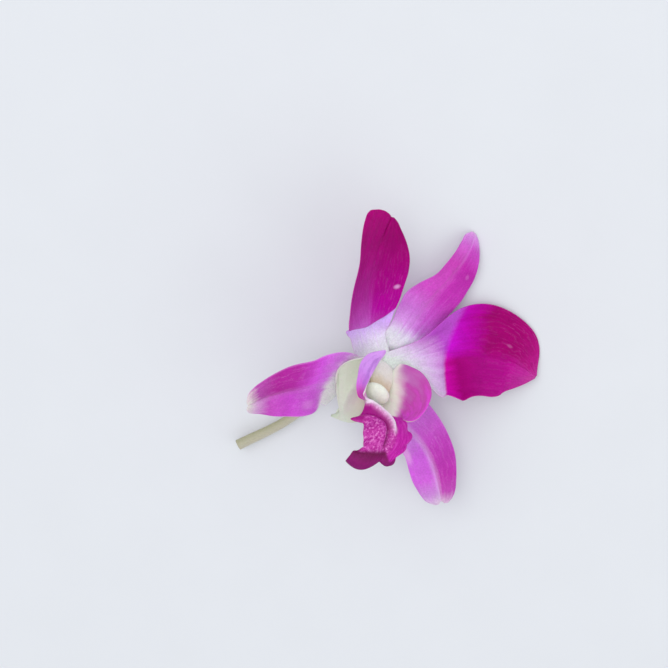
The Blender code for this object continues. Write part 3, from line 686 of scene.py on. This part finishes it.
def lipSheet(rows=230, halfColumns=62):
    # Each half section bends from the middle round its corner to its rim, a quadratic in across. On the left
    # side lobe it reaches its fold at foldAt and goes straight on to the flared rim; on the front lobe the
    # margin's points fade inwards with a sixth power of across. Smoothing rounds the fold, a crest and a furrow
    # follow the arch, and the front lobe's margin ripples.
    along = np.linspace(0.0, 1.0, rows + 1)[:, None]
    edges = spaced(halfColumns, 0.4)
    across = edges[None, :, None]

    def line(key):
        return smooth(lip[key], along[:, 0])[:, None]

    def bent(corner, rim, part):
        return (1 - part) ** 2 * line("middle") + 2 * part * (1 - part) * line(corner) + part**2 * line(rim)

    right = bent("rightCorner", "rightRim", across)
    wall = bent("leftCorner", "leftFold", np.minimum(across / lip["foldAt"], 1.0))
    past = np.maximum(across - lip["foldAt"], 0.0) / (1 - lip["foldAt"])
    wall = wall + past * (line("leftFlare") - line("leftFold"))
    front = bent("leftCorner", "leftRim", across) + across**6 * (line("leftPoints") - line("leftRim"))
    share = ease(along, 0.56, 0.62)[..., None]
    left = wall * (1 - share) + front * share
    sheet = np.concatenate([left[:, :0:-1], right], axis=1)
    for _ in range(lip["rounding"]):
        sheet[:, 1:-1] = 0.5 * sheet[:, 1:-1] + 0.25 * (sheet[:, 2:] + sheet[:, :-2])
    signed = np.concatenate([-edges[:0:-1], edges])[None, :]
    arch = archOf(along, signed)
    relief = lip["crest"] * bump(arch, 1.25, 0.12) * (1 - ease(along, 0.7, 0.82))
    relief = relief - lip["groove"] * bump(arch, 1.0, 0.1) * (1 - ease(along, 0.82, 0.92)) * ease(along, 0.6, 0.66)
    ruffle = ease(np.abs(signed), 0.35, 1.0) * ease(along, 0.62, 0.7)
    relief = relief + lip["ruffle"] * ruffle * np.sin(along * 62 + signed * 3)
    return sheet - relief[..., None] * normals(sheet), along, signed


# Lip: the same velvet skin as the petals, cream and waxy in the tube and wine red on the front lobe
lipSurface = {
    "IOR": 1.4, "Roughness": 0.45, "Specular IOR Level": 0.2,
    "Subsurface Weight": 0.35, "Subsurface Radius": (1.0, 0.7, 0.9), "Subsurface Scale": 0.0007,
}
lipColours = {
    "tube": [(0, "#E4E8D8"), (0.3, "#F0EEE2"), (0.58, "#F2EEE8")],
    "lobe": [(0.2, "#BC66B0"), (0.4, "#BE48A8"), (0.56, "#D64CCA")],
    "flare": [(0.22, "#DCA4F0"), (0.44, "#D494EA"), (0.51, "#CC70D4"), (0.55, "#BC3CA0"), (0.58, "#B42488")],
    # plate: mottled wine to pink, its palest flecks painted highlights on the papillae
    "plate": [(0.34, "#9C1480"), (0.48, "#B83098"), (0.58, "#C84CAE"), (0.7, "#E48CCE")],
    "wing": [(0.3, "#A8108C"), (0.5, "#BE18A2"), (0.7, "#CC40B4")],
    # wine red, taken near black by painted shade in the furrow and on the turned-down tip
    "wineAndShade": [(0.62, "#A60C86"), (0.74, "#9A0A74"), (0.9, "#640640"), (0.96, "#861066"), (1, "#7E0C64")],
    # outside: cream, greyed to tan about halfway by painted shade deep in the chin, then magenta to wine on the
    # front lobe
    "outside": [
        (0, "#D0DCC0"), (0.08, "#D6DAC8"), (0.2, "#D2DAC6"), (0.4, "#CCCAB8"), (0.5, "#C6BCAC"),
        (0.57, "#C6B2AC"), (0.64, "#B870A4"), (0.75, "#A83890"), (1, "#861C68"),
    ],
}


def lipTissue():
    made, tree, shader, add = newFinish("lipTissue")
    place, parts, at = placesOn(add)
    names = ("flush", "lens", "wing", "wineAndShade", "crest", "front", "back")
    marks = {name: add("Attribute", [], attribute_name=name)[2] for name in names}
    # streaks about 0.6 mm wide run lengthwise, and a finer grain crosswise
    waves = []
    for stretch in ((34, 9, 0), (26, 60, 0)):
        drawn = add("VectorMath", [place, stretch], operation="MULTIPLY")[0]
        drawing = {"Vector": drawn, "Scale": 1.0, "Detail": 3.0}
        waves.append(add("TexNoise", drawing, noise_dimensions="2D")[0])
    streak, grain = waves
    # papillae drawn at 0.5 mm, coarser than the real 0.1 mm
    papillae = add("TexNoise", {"Vector": at, "Scale": 1900.0, "Detail": 2.0, "Roughness": 0.6})[0]
    loose = add("Math", [streak, 0.5], operation="SUBTRACT")[0]
    fleck = add("Math", [grain, 0.35], operation="MULTIPLY")[0]
    fold = add("Math", [streak, 0.7], operation="MULTIPLY")[0]
    spot, blotch, flushed, fleck, fold, height = (
        add("Math", weighted, operation="MULTIPLY_ADD")[0]
        for weighted in (
            [loose, 0.03, parts[1]], [loose, 0.5, parts[1]], [loose, 0.25, marks["flush"]],
            [papillae, 0.7, fleck], [papillae, 0.3, fold], [papillae, 0.8, streak],
        )
    )
    read = {"lobe": blotch, "plate": fleck, "wing": fold}
    tints = {part: add("ValToRGB", [read.get(part, spot)], stops)[0] for part, stops in lipColours.items()}
    # each part over the one before: lobes flushed from the rim, a veined flare, and the front lobe with its
    # magenta wing, wine furrow and margin deepened by painted shade, and pale crest
    flushed = add("MapRange", [flushed, 0.1, 0.9], interpolation_type="SMOOTHSTEP")[0]
    veined = add("MapRange", [streak, 0.45, 0.65, 0.0, 0.6])[0]
    flare = add("Mix", {0: veined, 6: tints["flare"], 7: "#A868C8"}, data_type="RGBA")[2]
    # the front lobe starts as the mottled plate, its palest flecks painted highlights on the papillae
    front = tints["plate"]
    for mark, tint in (("wing", tints["wing"]), ("wineAndShade", tints["wineAndShade"]), ("crest", "#FAF0FA")):
        front = add("Mix", {0: marks[mark], 6: front, 7: tint}, data_type="RGBA")[2]
    colour = tints["tube"]
    shares = (flushed, marks["lens"], marks["front"], marks["back"])
    for share, tint in zip(shares, (tints["lobe"], flare, front, tints["outside"])):
        colour = add("Mix", {0: share, 6: colour, 7: tint}, data_type="RGBA")[2]
    raised = add("Bump", {"Strength": 0.6, "Distance": 0.0003, "Height": height})[0]
    setInputs(tree, shader, {**lipSurface, "Base Color": colour, "Normal": raised})
    return made


def labellum():
    # The lip's sheet made a shell, with the marks from 0 to 1 that its finish reads: flush on the right lobe,
    # lens on the left one's flare, and on the front lobe its wing, wine furrow and margins with painted shade, and
    # crest
    sheet, along, signed = lipSheet()
    toRim = np.minimum((1 - np.abs(signed)) * lip["halfWidth"] + 0 * along, (1 - along) * lip["length"])
    thickness = lip["thick"] * rounded(toRim, lip["taper"]) + rimLeast
    arch = archOf(along, signed)
    # rows from 0 at the foot to 1 at the front margin, columns from -1 on the left rim to 1 on the right one
    drawing = {
        "flush": ease(signed - (1 - 1.6 * (along - 0.16)), -0.16, 0.16) * ease(along, 0.14, 0.22) * (signed > 0),
        "lens": ease(-signed, lip["foldAt"] - 0.03, lip["foldAt"] + 0.01)
        * ease(along, 0.17, 0.22) * (1 - ease(along, *lip["waist"])),
        "wing": ease(arch, 1.25, 1.5),
        # painted shade over the wine red: the furrow, its side wall, the turned-down tip margin and a patch by the
        # points
        "wineAndShade": np.maximum.reduce([
            bump(arch, 0.99, 0.1) * (1 - ease(along, 0.84, 0.9)),
            ease(arch, 0.92, 0.98) * (1 - ease(arch, 1.09, 1.17)) * (1 - ease(along, 0.74, 0.82)),
            ease(along - 0.07 * ease(signed, -0.1, 0.7), 0.88, 0.915),
            ease(-signed, 0.8, 0.9) * bump(along, 0.672, 0.035),
        ]),
        "crest": bump(arch, 1.28, 0.1) * (1 - ease(along, 0.72, 0.79)) * ease(signed, -0.85, -0.55),
        "front": ease(along + 0.06 * ease(-signed, 0.4, 0.6) * (1 - ease(-signed, 0.7, 0.8)), *lip["waist"]),
    }
    points, faces, uv, marks = shell(sheet[:, ::-1], thickness[:, ::-1], signed[:, ::-1], along)
    for name, values in drawing.items():
        marks[name] = np.concatenate([(values + 0 * thickness)[:, ::-1].ravel()] * 2)
    addPiece("lipBlade", "labellum", points, faces, lipTissue(), uv, marks)


labellum()

columnShape = {
    "path": [(-0.6, -4.8, 6.2), (0, -2, 3.2), (0.5, 0.7, -0.3), (0, -6.5, -2.5), (0, -14.6, -3.8)],
    "halfWidth": [
        (0, 2.4), (0.12, 3), (0.3, 3), (0.5, 1.9), (0.7, 0.9), (0.85, 0.55), (0.96, 0.45), (1, 0.25),
    ],
    "halfDepth": [(0, 1.1), (0.12, 1.5), (0.3, 1.6), (0.5, 1.2), (0.75, 0.6), (1, 0.35)],
    "innerShare": 0.6,
    "look": {
        # both sides tan at the tip end, next to the cap: painted shade under the cap
        "first": [
            (0, "#CDB894"), (0.1, "#D8CCB4"), (0.2, "#E8E6DC"),
            (0.5, "#F0F2EC"), (0.8, "#D8DCC8"), (1, "#D8E0CC"),
        ],
        "second": [
            (0, "#CDB894"), (0.1, "#D6C6A6"), (0.19, "#E6E2D4"),
            (0.5, "#ECECE4"), (0.8, "#D8DCC8"), (1, "#D8E0CC"),
        ],
        "round": [(0.3, 0), (0.7, 1)], "patches": 500, "ragged": 0.1, "roughness": 0.4, "gloss": 0.4,
    },
}
capShape = {
    "radii": (3.0, 2.6, 1.9), "wall": 0.45, "gap": 0.1,
    "look": {
        "first": [(0, "#E6F0E6"), (1, "#DEEADC")], "second": [(0, "#F0F0E2"), (1, "#EAEAD6")],
        "round": [(0, 0), (1, 1)], "patches": 700, "ragged": 0.2, "roughness": 0.35, "gloss": 0.5,
    },
}
pollenShape = {
    "radii": (0.85, 0.6, 0.4),
    "look": {
        "first": [(0, "#E8B83C"), (1, "#F0CC58")], "second": [(0, "#E0A82C"), (1, "#E8C048")],
        "round": [(0, 0), (1, 1)], "patches": 900, "ragged": 0.2, "roughness": 0.4, "gloss": 0.5,
    },
}
pedicelShape = {
    "path": [
        (0, 0.5, -2.4), (0, 0.1, -5.5), (0, -3, -10.5),
        (0.5, -11.3, -15.5), (-0.7, -22.6, -18.9), (-5, -34.5, -22.9),
    ],
    "radii": [2.3, 1.9, 1.6, 1.2, 1.1, 1.25],
    "look": {
        "first": [(0, "#E4E2D8"), (0.4, "#CCC8BC"), (1, "#C4BEB0")],
        "second": [(0, "#E0E2D4"), (0.4, "#A6A484"), (1, "#A4A284")],
        "round": [(0, 0), (0.5, 1), (1, 0)],
        "patches": 600, "ragged": 0.2, "roughness": 0.45, "gloss": 0.35,
    },
}


sideways = np.array([1.0, 0.0, 0.0])


def closedTube(rings, name, node, finish):
    # Rings of points joined into a tube, each end closed by a fan to the middle of its last ring
    count, sides = rings.shape[:2]
    poles = np.stack([rings[0].mean(axis=0), rings[-1].mean(axis=0)])
    points = np.concatenate([rings.reshape(-1, 3), poles])
    walls = gridFaces(count, sides, closed=True)
    first = np.arange(sides)
    last = first + (count - 1) * sides
    start = np.stack([np.roll(first, -1), first, np.full(sides, count * sides)], axis=-1)
    end = np.stack([last, np.roll(last, -1), np.full(sides, count * sides + 1)], axis=-1)
    faces = walls.tolist() + start.tolist() + end.tolist()
    angle, place = np.meshgrid(np.linspace(0.0, 1.0, sides), np.linspace(0.0, 1.0, count))
    uv = np.concatenate([np.stack([angle, place], -1).reshape(-1, 2), [[0.5, 0.0], [0.5, 1.0]]])
    addPiece(name, node, points, faces, finish, uv)


def column(rows=90, sides=64):
    # An arched body: flattened rings along the path, their ends drawn in to a round nose
    along = np.linspace(0.0, 1.0, rows + 1)
    stations = alongPath(columnShape["path"])
    outward = np.cross(directions(stations, along, 0.02), sideways)
    angle = around(sides)
    nose = rounded(along, 0.04, 0.02) * rounded(1 - along, 0.02, 0.05)
    width = (smooth(columnShape["halfWidth"], along) * nose)[:, None, None]
    depth = (smooth(columnShape["halfDepth"], along) * nose)[:, None, None]
    deep = np.cos(angle)
    deep = np.where(deep > 0, deep, columnShape["innerShare"] * deep)[None, :, None] * outward[:, None]
    rings = smooth(stations, along)[:, None] + width * np.sin(angle)[None, :, None] * sideways + depth * deep
    finish = softTissue("columnFlesh", columnShape["look"])
    closedTube(rings[:, ::-1], "columnBody", "column", finish)


def onColumnTip(points):
    # From a frame whose z is the column's direction at its tip to the flower's frame
    tip, before = np.array(columnShape["path"][:2])
    ahead = unit(tip - before)
    turn = np.array(Vector(ahead).to_track_quat("Z", "Y").to_matrix())
    return points @ turn.T + tip + capShape["gap"] * ahead


def antherCap(rows=40, sides=64):
    # A helmet: down the outside from its crown to its rim and up the inside, one profile turned round z
    swing = np.linspace(0.02, 0.5 * math.pi, rows)
    wide, deep, high = capShape["radii"]
    outer = np.stack([np.sin(swing), high * np.cos(swing)], -1)
    inner = outer[::-1] * (1 - capShape["wall"] / np.array([wide, high]))
    profile = np.concatenate([outer, inner])
    angle = around(sides)
    spread = profile[:, None, 0] * (1 + 0.06 * np.cos(2 * angle))[None, :]
    rise = np.broadcast_to(profile[:, 1, None], spread.shape)
    rings = np.stack([spread * wide * np.cos(angle), spread * deep * np.sin(angle), rise], -1)
    finish = softTissue("antherCapFlesh", capShape["look"])
    closedTube(onColumnTip(rings)[:, ::-1], "antherCap", "anther_cap", finish)


def pollinia(rows=40, sides=48):
    # Four masses pressed together: an egg with a groove between the two pairs and one across them
    swing = np.linspace(0.03, math.pi - 0.03, rows)[:, None]
    angle = around(sides)[None, :]
    x, y, z = np.sin(swing) * np.cos(angle), np.sin(swing) * np.sin(angle), np.cos(swing) + 0 * angle
    groove = 1 - 0.28 * bump(x, 0.0, 0.2) - 0.14 * bump(y, 0.0, 0.16)
    wide, deep, high = pollenShape["radii"]
    rings = np.stack([x * groove * wide, y * groove * deep, z * groove * high + high], -1)
    finish = softTissue("pollenWax", pollenShape["look"])
    closedTube(onColumnTip(rings)[:, ::-1], "pollenMasses", "pollinia", finish)


def pedicel(rows=130, sides=48):
    # A bent tube with six faint ribs on the ovary, which fade down the stalk, and a cut end
    along = np.linspace(0.0, 1.0, rows + 1)
    stations = alongPath(pedicelShape["path"])
    radii = smooth([(at, radius) for (at, _), radius in zip(stations, pedicelShape["radii"])], along)
    tangent = directions(stations, along, 0.01)
    first = unit(sideways - (tangent @ sideways)[:, None] * tangent)
    second = np.cross(tangent, first)
    angle = around(sides)
    rib = 1 + 0.05 * np.cos(6 * angle)[None, :] * (1 - ease(along, 0.25, 0.6))[:, None]
    radius = (radii * rounded(along, 0.02, 0.05))[:, None] * rib
    ring = np.cos(angle)[None, :, None] * first[:, None] + np.sin(angle)[None, :, None] * second[:, None]
    rings = smooth(stations, along)[:, None] + radius[..., None] * ring
    closedTube(rings, "flowerStalk", "pedicel", softTissue("pedicelSkin", pedicelShape["look"]))


column()
antherCap()
pollinia()
pedicel()

studio = {
    "floor": "#D8DADD", "reach": 2.0, "room": "#EEF1F6", "roomStrength": 0.88,
    "key": {"at": (-0.25, 0.35, 0.9), "size": 0.9, "power": 2.6},
    "fill": {"at": (0.6, -0.3, 0.7), "size": 0.9, "power": 1.2},
    "front": {"at": (0.02, 0.2, 1.0), "size": 0.5, "power": 1.4},
}


def floor():
    # matt white lacquer, rolled on: even, with barely a shine, and clouded in patches of about 17 mm
    finish, tree, shader, add = newFinish("paintedTable")
    at = add("TexCoord", [])[3]
    grain = add("TexNoise", {"Vector": at, "Scale": 60.0, "Detail": 2.0})[0]
    tone = add("MapRange", {0: grain, 3: 0.985, 4: 1.015})[0]
    white = {0: 1.0, 6: studio["floor"], 7: tone}
    colour = add("Mix", white, data_type="RGBA", blend_type="MULTIPLY")[2]
    setInputs(tree, shader, {"Base Color": colour, "Roughness": 0.8, "Specular IOR Level": 0.2})
    mesh = bpy.data.meshes.new("floor")
    reach = studio["reach"]
    corners = [(-reach, -reach, 0), (reach, -reach, 0), (reach, reach, 0), (-reach, reach, 0)]
    mesh.from_pydata(corners, [], [(0, 1, 2, 3)])
    mesh.materials.append(finish)
    newObject("floor", mesh)


def softbox(name, box):
    # a round soft light turned to the flower
    light = bpy.data.lights.new(name, "AREA")
    light.shape, light.size, light.energy = "DISK", box["size"], box["power"]
    made = newObject(name, light)
    made.location = box["at"]
    made.rotation_euler = (-Vector(box["at"])).to_track_quat("-Z", "Y").to_euler()


def room():
    # even pale light from all round
    world = bpy.data.worlds.new("room")
    world.use_nodes = True
    sky = world.node_tree.nodes["Background"]
    sky.inputs["Color"].default_value = hexColour(studio["room"])
    sky.inputs["Strength"].default_value = studio["roomStrength"]
    bpy.context.scene.world = world
    bpy.context.scene.view_settings.view_transform = "Standard"


# The camera in the flower's frame: its directions to the right, up and back, its place, lens and sensor in mm
cameraSpot = {
    "axes": [(0.70026, 0.60624, 0.37697), (-0.53616, 0.79527, -0.28298), (-0.47135, -0.00396, 0.88194)],
    "place": (-217.778, -2.125, 379.666), "lens": 105.0, "sensor": 36.0,
}


def camera():
    # a long lens that looks into the flower's face from a little to its left
    data = bpy.data.cameras.new("camera")
    data.lens = cameraSpot["lens"]
    data.sensor_width = cameraSpot["sensor"]
    data.clip_start, data.clip_end = 0.01, 20.0
    made = newObject("camera", data)
    axes = flowerTurn @ np.array(cameraSpot["axes"]).T
    placed = Matrix(axes.tolist()).to_4x4()
    placed.translation = (flowerTurn @ np.array(cameraSpot["place"]) + flowerPlace) * mm
    made.matrix_world = placed
    bpy.context.scene.camera = made


floor()
for part in ("key", "fill", "front"):
    softbox(part + "Light", studio[part])
room()
camera()
print("studio ready")
